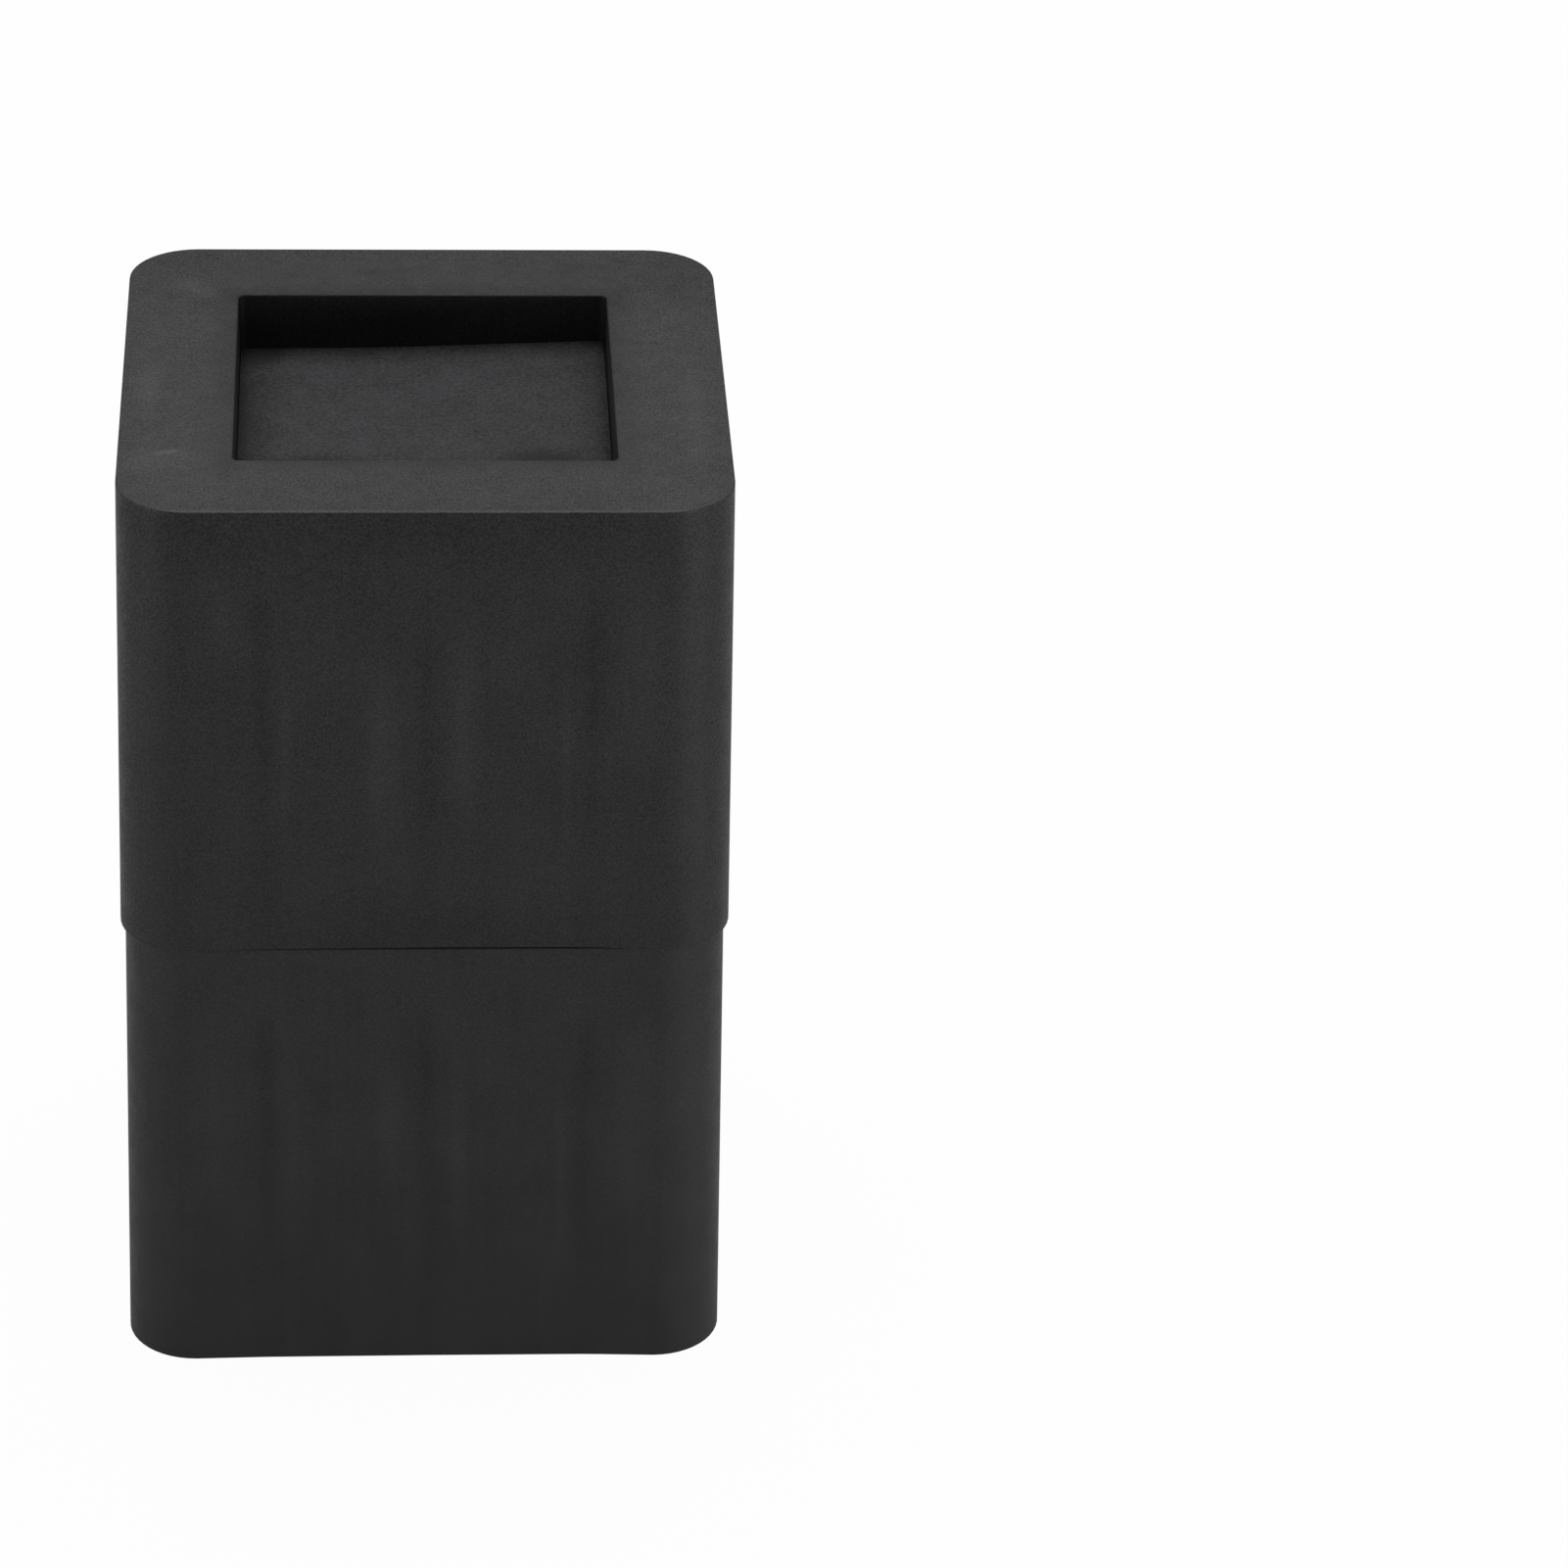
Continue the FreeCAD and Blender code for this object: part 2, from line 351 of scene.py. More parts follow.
@dataclass
class MouldedPolypropylene:
    """Black polypropylene from a spark-eroded mould, on one riser.

    To the eye it is a near-black satin plastic with a fine even grain. It lightens at a
    glancing angle, and shows darker sink bands over the ribs with paler blush beside them. On
    the rim it is smoother and darker next to the recess, paler in patches towards the outside,
    and darker at its back corners. Its tone also carries painted shade in the recess, a painted
    highlight along the rim's front edge, and partly painted highlight in pale patches near the
    front's corners.
    """

    tier: Tier
    sizes: RiserSizes
    name: str = "moulded polypropylene"
    colour: str = "#1e1e1f"
    ior: float = 1.49
    specular_level: float = 0.16
    roughness: float = 0.53
    tier_shift: float = 370.0  # so that the two risers don't carry the same clouds
    grain_pitch: float = 0.45  # coarser than the real 0.1 mm, so that it shows
    grain_height: float = 0.05
    speckle_pitch: float = 0.45
    speckle_share: float = 0.47
    speckle_roughness: float = -0.085  # the paler points are a little shinier
    cloud_pitch: float = 5.0  # of the duller and shinier patches
    cloud_roughness: float = 0.055
    worn_width: float = 11.0  # of the duller strips on the rim beside the recess
    worn_roughness: float = 0.06
    mottle_pitch: float = 16.0
    mottle_share: float = 0.1
    streak_pitch: float = 2.6
    streak_length: float = 50.0
    streak_share: float = 0.04
    band_half_width: float = 3.6
    band_share: float = 0.17
    band_top: float = 11.0  # from the rim down to where a sink band starts
    band_foot_share: float = 0.3  # of a band's strength, at the foot
    rim_back_share: float = 0.2  # darker, on the rim behind the recess
    rim_inner_share: float = 0.5  # darker, on the rim next to the recess
    rim_inner_width: float = 6.5
    rim_smooth_width: float = 9.0  # of the rim next to the recess, where the grain is finer
    rim_smooth_back: float = 12.0  # wider by this, behind the recess
    rim_smooth_grain: float = 0.5  # share of the grain there
    rim_highlight_width: float = 1.1  # of the painted highlight along the rim's front edge
    rim_highlight_blur: float = 0.2
    rim_highlight_share: float = 0.9
    rim_skin: tuple[float, float] = (0.1, 0.02)  # below the rim, where marks on it start and are full
    recess_shade_share: float = 0.3  # darker: painted shade in the recess
    recess_shade_fade: tuple[float, float] = (0.2, 0.6)  # out from its edge, over which that fades
    least_tone: float = 0.3

    tree: NodeTree = field(init=False)
    made: bpy.types.Material = field(init=False)
    local: Node = field(init=False)  # coordinates from the middle of this riser's foot
    own: Node = field(init=False)  # coordinates that differ from riser to riser
    askew: Node = field(init=False)  # the same, along none of the faces

    def __post_init__(self) -> None:
        """Starts the material, with the coordinates that its patterns share."""
        self.made = bpy.data.materials.new(f"{self.name}, {self.tier.prefix} riser")
        self.tree = new_tree(self.made)
        whole = add_node(self.tree, "ShaderNodeTexCoord").outputs["Object"]
        foot_z = self.tier.value * self.sizes.height * MM
        shift = self.tier.value * self.tier_shift * MM
        self.local, self.own = (
            add_node(self.tree, "ShaderNodeMapping", {"Vector": whole, "Location": move})
            for move in ((0, 0, -foot_z), (shift, 0, 0))
        )
        self.askew = add_node(self.tree, "ShaderNodeMapping", {"Vector": self.own, "Rotation": SKEW})

    def material(self) -> bpy.types.Material:
        """Makes the material.

        Returns:
            The new material.
        """
        tree, ramps = self.tree, self._ramps()
        points = noise_levels(tree, self.askew, self.speckle_pitch, (-1.0, 1.0), spread=0.25)
        dust = add_node(tree, "ShaderNodeMath", {0: points, 1: ramps["grain"]}, operation="MULTIPLY")
        speckle = add_node(tree, "ShaderNodeMath", {0: dust, 1: self.speckle_share}, operation="MULTIPLY")
        tone = self._mottle()
        # tones from the ramps, among them painted shade in the recess and a painted highlight along the rim's
        # front edge
        darker = [ramps[name] for name in ("ribs", "back", "recess", "beside", "line")]
        marks = [mark.add(tree, self.local) for mark in PLASTIC_MARKS[self.tier]]
        for change in (speckle, *darker, *marks):
            tone = add_node(tree, "ShaderNodeMath", {0: tone, 1: change}, operation="ADD")
        tone = add_node(tree, "ShaderNodeMath", {0: tone, 1: self.least_tone}, operation="MAXIMUM")
        base = add_node(
            tree, "ShaderNodeVectorMath", {0: linear(self.colour)[:3], "Scale": tone}, operation="SCALE",
        )
        dull = add_node(
            tree, "ShaderNodeMath", {0: dust, 1: self.speckle_roughness, 2: self.roughness},
            operation="MULTIPLY_ADD",
        )
        levels = (-self.cloud_roughness, self.cloud_roughness)
        patches = noise_levels(tree, self.askew, self.cloud_pitch, levels, detail=3.0, roughness=0.6)
        for change in (patches, ramps["worn"]):
            dull = add_node(tree, "ShaderNodeMath", {0: dull, 1: change}, operation="ADD")
        grain = add_node(
            tree, "ShaderNodeTexNoise",
            {"Vector": self.askew, "Scale": 1 / (self.grain_pitch * MM), "Detail": 1.0, "Roughness": 0.6},
        )
        grain = add_node(tree, "ShaderNodeMath", {0: grain, 1: ramps["grain"]}, operation="MULTIPLY")
        bump = add_node(
            tree, "ShaderNodeBump", {"Height": grain, "Distance": self.grain_height * MM, "Strength": 1.0},
        )
        shader = add_node(
            tree, "ShaderNodeBsdfPrincipled",
            {"Base Color": base, "Roughness": dull, "IOR": self.ior,
             "Specular IOR Level": self.specular_level, "Normal": bump},
        )
        add_node(tree, "ShaderNodeOutputMaterial", {"Surface": shader})
        return self.made

    def _mottle(self) -> Node:
        """Makes the tone that clouds and faint upright streaks give the plastic.

        Returns:
            The tone, about 1.
        """
        tree = self.tree
        levels = (1 - self.mottle_share, 1 + self.mottle_share)
        clouds = noise_levels(tree, self.own, self.mottle_pitch, levels, detail=3.0, roughness=0.55)
        drawn = add_node(
            tree, "ShaderNodeMapping",
            {"Vector": self.own, "Scale": (1.0, 1.0, self.streak_pitch / self.streak_length)},
        )
        levels = (-self.streak_share, self.streak_share)
        streaks = noise_levels(tree, drawn, self.streak_pitch, levels, spread=0.15, detail=2.0)
        return add_node(tree, "ShaderNodeMath", {0: clouds, 1: streaks}, operation="ADD")

    def _ramps(self) -> dict[str, Node]:
        """Makes the values that run from one level to another along some length on the riser.

        The grain is coarsest at the top of the stack and finer next to a recess. The plastic is
        worn beside the recess. It is darker over the ribs, behind and beside the recess, and carries
        painted shade in the recess and a painted highlight along the rim's front edge.

        Returns:
            The values, by name.
        """
        tree, sizes = self.tree, self.sizes
        x, y, z = add_node(tree, "ShaderNodeSeparateXYZ", {0: self.local}).outputs
        aside, forth = (add_node(tree, "ShaderNodeMath", {0: part}, operation="ABSOLUTE") for part in (x, y))
        across = add_node(tree, "ShaderNodeMath", {0: aside, 1: forth}, operation="MAXIMUM")
        before = add_node(tree, "ShaderNodeMath", {0: 0.0, 1: y}, operation="SUBTRACT")
        behind = add_node(tree, "ShaderNodeMath", {0: y, 1: self.rim_smooth_back * MM}, operation="SUBTRACT")
        around = aside
        for side in (before, behind):
            around = add_node(tree, "ShaderNodeMath", {0: around, 1: side}, operation="MAXIMUM")
        on_front = add_node(tree, "ShaderNodeMath", {0: forth, 1: aside}, operation="GREATER_THAN")
        half_pitch = sizes.rib_offset / 2 * MM
        to_rib = add_node(tree, "ShaderNodeMath", {0: aside, 1: half_pitch}, operation="PINGPONG")
        to_band = add_node(
            tree, "ShaderNodeMix", {"Factor": on_front, 2: forth, 3: to_rib}, data_type="FLOAT",
        )

        edge, top = sizes.recess_width / 2, sizes.height
        # where the painted highlight along the rim's front edge lies
        line = self.rim_highlight_width - sizes.rim_width / 2
        band = top - self.band_top
        # name, along, start, end, levels at the two, shape, and an earlier ramp that it is multiplied by
        rows = (
            ("finer", around, edge, edge + self.rim_smooth_width,
             self.rim_smooth_grain, 1.0, "SMOOTHSTEP", None),
            ("grain", z, 0.0, top, *COARSENESS[self.tier], "LINEAR", "finer"),
            ("to back", y, -edge, edge, 0.0, 1.0, "SMOOTHSTEP", None),
            ("worn", aside, edge, edge + self.worn_width, self.worn_roughness, 0.0, "SMOOTHSTEP", "to back"),
            ("on back", y, edge - self.worn_width, edge, 0.0, 1.0, "SMOOTHSTEP", None),
            ("back", y, edge, sizes.base_width / 2,
             -self.rim_back_share, -self.rim_back_share / 2, "LINEAR", "on back"),
            # painted shade in the recess, fading out over its edge
            ("recess", across, edge + self.recess_shade_fade[0], edge + self.recess_shade_fade[1],
             -self.recess_shade_share, 0.0, "LINEAR", None),
            ("on rim", z, top - self.rim_skin[0], top - self.rim_skin[1], 0.0, 1.0, "LINEAR", None),
            ("beside", across, edge, edge + self.rim_inner_width,
             -self.rim_inner_share, 0.0, "LINEAR", "on rim"),
            # a painted highlight along the rim's front edge
            ("line", y, line - self.rim_highlight_blur, line + self.rim_highlight_blur,
             self.rim_highlight_share, 0.0, "LINEAR", "on rim"),
            ("below rim", z, band, band - self.band_top, 0.0, 1.0, "SMOOTHSTEP", None),
            ("to foot", z, 0.0, top / 2, self.band_foot_share, 1.0, "LINEAR", "below rim"),
            ("ribs", to_band, 0.0, self.band_half_width, -self.band_share, 0.0, "SMOOTHSTEP", "to foot"),
        )
        found = {}
        for name, along, start, end, first, last, shape, times in rows:
            found[name] = add_node(
                tree, "ShaderNodeMapRange",
                {"Value": along, "From Min": start * MM, "From Max": end * MM,
                 "To Min": first, "To Max": last},
                interpolation_type=shape,
            )
            if times:
                both = {0: found[name], 1: found[times]}
                found[name] = add_node(tree, "ShaderNodeMath", both, operation="MULTIPLY")
        return found


@dataclass(frozen=True)
class EvaFoam:
    """Closed-cell EVA foam, sliced from a sheet.

    To the eye it is a dull dark grey with fine open pores, a little paler than the plastic
    round it, with soft pale scuffs where legs have stood. Its tone also carries painted shade
    along its left, right and back edges, where the recess walls shade it, and in a few patches.
    """

    name: str = "EVA foam"
    colour: str = "#202022"
    ior: float = 1.45
    specular_level: float = 0.3
    roughness: float = 0.8
    tier_shift: float = 530.0  # so that the two pads don't carry the same scuffs
    pore_pitch: float = 0.7  # coarser than the real 0.3 mm, so that it shows
    pore_depth: float = 0.05
    scuff_pitch: float = 7.0
    scuff_tones: tuple[float, float] = (0.78, 1.28)
    speckle_share: float = 0.6
    wall_shade_width: float = 11.0  # of the painted shade along the pad's left, right and back edges, where the recess walls shade it
    left_wall_shade: float = 0.8
    right_wall_shade: float = 0.5
    back_wall_shade: float = 0.2
    least_tone: float = 0.1

    def material(self, tier: Tier, half_width: float) -> bpy.types.Material:
        """Makes the material for one pad.

        Args:
            tier: Which pad.
            half_width: Half the pad's width, in millimetres.

        Returns:
            The new material.
        """
        made = bpy.data.materials.new(f"{self.name}, {tier.prefix} pad")
        tree = new_tree(made)
        coordinates = add_node(tree, "ShaderNodeTexCoord").outputs["Object"]
        move = (tier.value * self.tier_shift * MM, 0, 0)
        shifted = add_node(
            tree, "ShaderNodeMapping", {"Vector": coordinates, "Location": move, "Rotation": SKEW},
        )
        tone = noise_levels(tree, shifted, self.scuff_pitch, self.scuff_tones, detail=4.0, roughness=0.6)
        levels = (-self.speckle_share, self.speckle_share)
        speckle = noise_levels(tree, shifted, self.pore_pitch, levels, detail=1.0)
        place = add_node(tree, "ShaderNodeSeparateXYZ", {0: coordinates}).outputs
        # painted shade along the pad's edges, where the recess walls shade it
        sides = (("X", -1, self.left_wall_shade), ("X", 1, self.right_wall_shade), ("Y", 1, self.back_wall_shade))
        strips = [
            add_node(
                tree, "ShaderNodeMapRange",
                {"Value": place[axis], "From Min": side * half_width * MM,
                 "From Max": side * (half_width - self.wall_shade_width) * MM, "To Min": -share, "To Max": 0.0},
                interpolation_type="SMOOTHSTEP",
            )
            for axis, side, share in sides
        ]
        # patches of painted shade
        marks = [mark.add(tree, coordinates) for mark in PAD_PAINTED_SHADE[tier]]
        for change in (speckle, *strips, *marks):
            tone = add_node(tree, "ShaderNodeMath", {0: tone, 1: change}, operation="ADD")
        tone = add_node(tree, "ShaderNodeMath", {0: tone, 1: self.least_tone}, operation="MAXIMUM")
        base = add_node(
            tree, "ShaderNodeVectorMath", {0: linear(self.colour)[:3], "Scale": tone}, operation="SCALE",
        )
        scale = 1 / (self.pore_pitch * MM)
        pores = add_node(tree, "ShaderNodeTexVoronoi", {"Vector": shifted, "Scale": scale}, feature="F1")
        bump = add_node(
            tree, "ShaderNodeBump", {"Height": pores, "Distance": self.pore_depth * MM, "Strength": 1.0},
        )
        shader = add_node(
            tree, "ShaderNodeBsdfPrincipled",
            {"Base Color": base, "Roughness": self.roughness, "IOR": self.ior,
             "Specular IOR Level": self.specular_level, "Normal": bump},
        )
        add_node(tree, "ShaderNodeOutputMaterial", {"Surface": shader})
        return made


@dataclass
class Riser:
    """One moulded riser: a fine outer skin over the inside of the solid."""

    tier: Tier
    sizes: RiserSizes = RiserSizes()
    corner_segments: int = 12
    rim_edge_radius: float = 0.3
    lip_radius: float = 0.3
    foot_edge_radius: float = 0.25
    edge_segments: int = 4
    support: float = 0.35  # width of the flat strip that ends each rounded edge
    foot_cuts: tuple[float, ...] = (0.4, 1.5, 4.0)  # above the foot's rounded edge
    side_cuts: tuple[float, ...] = (  # below the rim
        90, 80, 70, 60, 50, 40, 32, 26, 22, 18, 15, 12, 9, 5, 2.5, 1.1,
    )
    floor_cut: float = 0.4  # above the recess floor
    sink_depth: float = 0.06
    sink_half_width: float = 3.0
    sink_start: float = 9.0  # from the rim down to where a sink band starts
    sink_full: float = 20.0  # from the rim down to where it is fully deep
    sink_foot_share: float = 0.4  # of its depth, at the foot
    level_normal: float = 0.9  # least upright part of the normal of a level facet of the solid
    level_tolerance: float = 0.05  # how near the foot or the rim it lies
    recess_tolerance: tuple[float, float] = (0.2, 0.1)  # the same for the recess, across and down
    skin_tolerance: float = 0.5  # the same for the outside
    joint_arch: float = 0.45  # more rise of the upper riser's foot edge, over the joint
    arch_lean: float = 0.2  # how far the top of the arch lies towards the right or the back
    arch_power: int = 4  # the higher, the flatter the arch
    arch_reach: float = 4.0  # up to where the side follows the arch
    sharp_deg: float = 30.0

    def build(self) -> bpy.types.Object:
        """Returns:
            The new object.
        """
        name = f"{self.tier.prefix}_riser"
        whole = self._inside(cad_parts[name])
        skin = bpy.data.meshes.new("skin")
        outer = self._skin()
        outer.to_mesh(skin)
        outer.free()
        whole.from_mesh(skin)
        bpy.data.meshes.remove(skin)
        open_edges = [edge for edge in whole.edges if edge.is_boundary]
        bmesh.ops.triangle_fill(
            whole, use_beauty=True, use_dissolve=False, edges=open_edges, normal=(0, 0, -1),
        )
        bmesh.ops.recalc_face_normals(whole, faces=whole.faces[:])
        still_open = sum(1 for edge in whole.edges if len(edge.link_faces) != 2)
        if still_open:
            LOG.warning("%s: %d edges don't join two faces", name, still_open)
        piece = new_piece(f"{self.tier.prefix}_riser_moulding", whole, self.sharp_deg)
        piece.data.materials.append(MouldedPolypropylene(self.tier, self.sizes).material())
        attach(piece, BODY)
        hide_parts(name)
        return piece

    @property
    def edge_arch(self) -> float:
        """Rise of the foot's outer edge in the middle of a side: more over the joint than over the floor."""
        return self.sizes.foot_arch + (self.joint_arch if self.tier is Tier.UPPER else 0.0)

    def _foot_z(self) -> float:
        """Height of the riser's foot over the floor."""
        return self.tier.value * self.sizes.height

    def _depth_inside(self, point: Vector) -> float:
        """How far a point lies inside the outer faces, in millimetres; negative outside."""
        half = self.sizes.base_width / 2 - lean(point.z, self.sizes.draft_deg)
        core = half - self.sizes.corner_radius
        past = Vector((max(abs(point.x) - core, 0), max(abs(point.y) - core, 0)))
        flat = min(max(abs(point.x), abs(point.y)) - core, 0)
        return self.sizes.corner_radius - past.length - flat

    def _is_outer(self, face: bmesh.types.BMFace) -> bool:
        """Whether a facet of the solid belongs to the outside, the foot, the rim or the recess."""
        middle = face.calc_center_median() / MM - Vector((0, 0, self._foot_z()))
        top = self.sizes.height
        lowest = self.sizes.foot_arch + self.level_tolerance
        on_foot = face.normal.z < -self.level_normal and middle.z < lowest
        on_rim = face.normal.z > self.level_normal and middle.z > top - self.level_tolerance
        across = self.sizes.recess_width / 2 + self.recess_tolerance[0]
        floor = self.sizes.recess_floor - self.recess_tolerance[1]
        in_recess = max(abs(middle.x), abs(middle.y)) < across and middle.z > floor
        on_outside = self._depth_inside(middle) < self.skin_tolerance
        return on_foot or on_rim or in_recess or on_outside

    def _inside(self, solid: bpy.types.Object) -> BMesh:
        """Takes the ribs, the tub and the skirt's inner faces from a copy of the solid's mesh.

        Args:
            solid: The riser's own node.

        Returns:
            A bmesh that is open along the inner edge of the foot.
        """
        inside = bmesh.new()
        inside.from_mesh(solid.data)
        bmesh.ops.remove_doubles(inside, verts=inside.verts[:], dist=MERGE_DISTANCE)
        inside.normal_update()
        outer_faces = [face for face in inside.faces if self._is_outer(face)]
        bmesh.ops.delete(inside, geom=outer_faces, context="FACES")
        return inside

    def _rounded_tube(
        self, target: BMesh, foot: float, head: float, foot_z: float, head_z: float, radius: float,
    ) -> list[bmesh.types.BMFace]:
        """Adds four leaning walls with rounded upright corners, and the faces that end them.

        Args:
            target: The bmesh that gets them.
            foot: Half the width at the lower end.
            head: Half the width at the upper end.
            foot_z: Height of the lower end.
            head_z: Height of the upper end.
            radius: Radius of the upright corners.

        Returns:
            The two end faces, the lower one first.
        """
        verts = bmesh.ops.create_cube(target, size=2.0)["verts"]
        for vert in verts:
            half, z = (head, head_z) if vert.co.z > 0 else (foot, foot_z)
            vert.co = Vector((vert.co.x * half, vert.co.y * half, z)) * MM
        edges = {edge for vert in verts for edge in vert.link_edges}
        uprights = [edge for edge in edges if abs(edge.verts[0].co.z - edge.verts[1].co.z) > MM]
        bmesh.ops.bevel(
            target, geom=uprights, offset=radius * MM, offset_type="OFFSET", affect="EDGES",
            segments=self.corner_segments, profile=0.5, material=-1, clamp_overlap=False,
        )
        levels = [face for face in target.faces if len(face.verts) > 4]
        return sorted(levels, key=lambda face: face.calc_center_median().z)

    def _cut(self, target: BMesh, axis: Axis, places: list[float]) -> None:
        """Cuts a bmesh across by planes at right angles to an axis.

        Args:
            target: The bmesh that is cut.
            axis: The planes' normal.
            places: The planes' places along it, in millimetres.
        """
        for place in places:
            bmesh.ops.bisect_plane(
                target, geom=target.verts[:] + target.edges[:] + target.faces[:], dist=MERGE_DISTANCE,
                plane_co=axis.vector(place * MM), plane_no=axis.vector(),
            )

    def _band_cuts(self) -> list[float]:
        """Places across a side where the skin is cut, close together over each rib."""
        lines = (-self.sizes.rib_offset, 0.0, self.sizes.rib_offset)
        return [line + step / 4 * self.sink_half_width for line in lines for step in range(-5, 6)]

    def _extrude_ring(self, target: BMesh, ring: Ring, core: float, outward: float, up: float) -> Ring:
        """Extrudes a level ring of edges and moves the new ring out and up.

        Args:
            target: The bmesh that holds the ring.
            ring: The ring's edges.
            core: Half the width of the square that the ring's corners are rounded about.
            outward: How far the new ring moves out, along the ring's own outward directions.
            up: How far it moves up.

        Returns:
            The new ring's edges.
        """
        made = bmesh.ops.extrude_edge_only(target, edges=ring)["geom"]
        new_verts = {item for item in made if isinstance(item, bmesh.types.BMVert)}
        for vert in new_verts:
            flat = Vector((vert.co.x, vert.co.y)) / MM
            nearest = Vector((min(max(flat.x, -core), core), min(max(flat.y, -core), core)))
            direction = (flat - nearest).normalized()
            vert.co += Vector((direction.x * outward, direction.y * outward, up)) * MM
        edges = [item for item in made if isinstance(item, bmesh.types.BMEdge)]
        return [edge for edge in edges if edge.verts[0] in new_verts and edge.verts[1] in new_verts]

    def _round_edge(
        self, target: BMesh, ring: Ring, core: float, radius: float, outward: float, up: float,
    ) -> Ring:
        """Carries an upright wall over a quarter round into a level face, with a flat strip to end it.

        Args:
            target: The bmesh that holds the wall.
            ring: The edges that end the wall.
            core: Half the width of the square that the ring's corners are rounded about.
            radius: Radius of the quarter round.
            outward: 1 where the level face lies outside the ring, and -1 inside it.
            up: 1 where the wall runs upwards, and -1 downwards.

        Returns:
            The edges that end the flat strip.
        """
        step = math.pi / 2 / self.edge_segments
        for segment in range(self.edge_segments):
            here, after = segment * step, (segment + 1) * step
            sideways = radius * (math.cos(here) - math.cos(after))
            rise = radius * (math.sin(after) - math.sin(here))
            ring = self._extrude_ring(target, ring, core, outward * sideways, up * rise)
        return self._extrude_ring(target, ring, core, outward * self.support, 0.0)

    def _skin(self) -> BMesh:
        """Makes the outside, the rim and the recess, open along the outer edge of the foot.

        Returns:
            The skin, at this riser's place in the stack.
        """
        sizes = self.sizes
        top = sizes.height
        skin = bmesh.new()
        foot_half = sizes.base_width / 2 - lean(self.foot_edge_radius, sizes.draft_deg)
        head_half = sizes.base_width / 2 - lean(top - self.rim_edge_radius, sizes.draft_deg)
        ends = self._rounded_tube(
            skin, foot_half, head_half, self.foot_edge_radius, top - self.rim_edge_radius,
            sizes.corner_radius,
        )
        bmesh.ops.delete(skin, geom=ends, context="FACES_ONLY")
        levels = [self.foot_edge_radius + rise for rise in self.foot_cuts]
        self._cut(skin, Axis.Z, levels + [top - drop for drop in self.side_cuts])
        self._cut(skin, Axis.X, self._band_cuts())
        self._cut(skin, Axis.Y, self._band_cuts())
        rim = [edge for edge in skin.edges if edge.is_boundary and edge.verts[0].co.z > top / 2 * MM]
        foot = [edge for edge in skin.edges if edge.is_boundary and edge.verts[0].co.z < top / 2 * MM]
        core = head_half - sizes.corner_radius
        rim = self._round_edge(skin, rim, core, self.rim_edge_radius, -1, 1)
        foot_core = foot_half - sizes.corner_radius
        self._round_edge(skin, foot, foot_core, self.foot_edge_radius, -1, -1)
        self._shape_sides(skin)
        lip = self._recess(skin)
        bmesh.ops.triangle_fill(skin, use_beauty=True, use_dissolve=False, edges=rim + lip, normal=(0, 0, 1))
        bmesh.ops.translate(skin, verts=skin.verts[:], vec=Axis.Z.vector(self._foot_z() * MM))
        return skin

    def _recess(self, skin: BMesh) -> Ring:
        """Adds the recess for the leg to the skin.

        Args:
            skin: The outer skin, before its rim is closed.

        Returns:
            The edges that end the recess on the level of the rim.
        """
        sizes = self.sizes
        recess = bmesh.new()
        head_z = sizes.height - self.lip_radius
        floor_half = sizes.recess_floor_width / 2
        head_half = floor_half + lean(head_z - sizes.recess_floor, sizes.recess_draft_deg)
        ends = self._rounded_tube(
            recess, floor_half, head_half, sizes.recess_floor, head_z, sizes.recess_corner_radius,
        )
        bmesh.ops.delete(recess, geom=[ends[1]], context="FACES_ONLY")
        self._cut(recess, Axis.X, self._band_cuts())
        self._cut(recess, Axis.Y, self._band_cuts())
        self._cut(recess, Axis.Z, [sizes.recess_floor + self.floor_cut, head_z - self.support])
        temporary = bpy.data.meshes.new("recess")
        recess.to_mesh(temporary)
        recess.free()
        before = set(skin.edges)
        skin.from_mesh(temporary)
        bpy.data.meshes.remove(temporary)
        lip = [edge for edge in skin.edges if edge not in before and edge.is_boundary]
        core = head_half - sizes.recess_corner_radius
        return self._round_edge(skin, lip, core, self.lip_radius, 1, 1)

    def _shape_sides(self, skin: BMesh) -> None:
        """Sinks the sides a little over the ribs, and arches the foot between its corners.

        Args:
            skin: The sides with the edges of rim and foot, standing on the floor.
        """
        sizes = self.sizes
        half_span = sizes.base_width / 2 - sizes.corner_radius
        for vert in skin.verts:
            x, y, z = vert.co / MM
            on_front = abs(y) > abs(x)  # or on the back
            across = x if on_front else y
            if abs(across) > half_span:
                continue
            outward = Vector((0, math.copysign(1, y), 0)) if on_front else Vector((math.copysign(1, x), 0, 0))
            lines = (-sizes.rib_offset, 0.0, sizes.rib_offset) if on_front else (0.0,)
            nearest = min(abs(across - line) for line in lines)
            band = 1 - smooth(nearest, 0, self.sink_half_width)
            fade = smooth(sizes.height - z, self.sink_start, self.sink_full)
            fade *= self.sink_foot_share + (1 - self.sink_foot_share) * z / sizes.height
            vert.co -= outward * (self.sink_depth * band * fade * MM)
            along = across / half_span
            arch = self.edge_arch * (1 - along ** self.arch_power) * (1 + self.arch_lean * along)
            vert.co.z += arch * (1 - smooth(z, 0, self.arch_reach)) * MM


